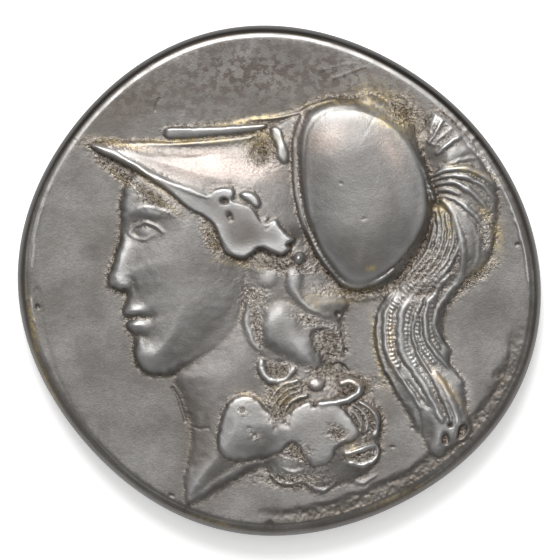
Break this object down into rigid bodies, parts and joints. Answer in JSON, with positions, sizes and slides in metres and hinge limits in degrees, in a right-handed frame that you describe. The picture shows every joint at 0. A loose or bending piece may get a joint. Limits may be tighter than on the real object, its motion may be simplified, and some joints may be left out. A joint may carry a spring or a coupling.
{
  "type": "silver didrachm coin",
  "caption": "Struck silver coin with a helmeted head in relief on one side and a plain rosette in a ring of lozenges on the other.",
  "frame": {"origin": "middle of the coin's bounding box, on the underside where the reverse rests on a table", "axes": "+Z out of the obverse picture, through the coin's thickness; +X to the right of the picture; +Y to the picture's top"},
  "size_m": [0.0224, 0.022, 0.0031],
  "materials": {
    "coin": "worn struck silver with brown and golden toning in the recesses"
  },
  "bodies": {
    "root": {"coin": "coin"}
  },
  "joints": []
}
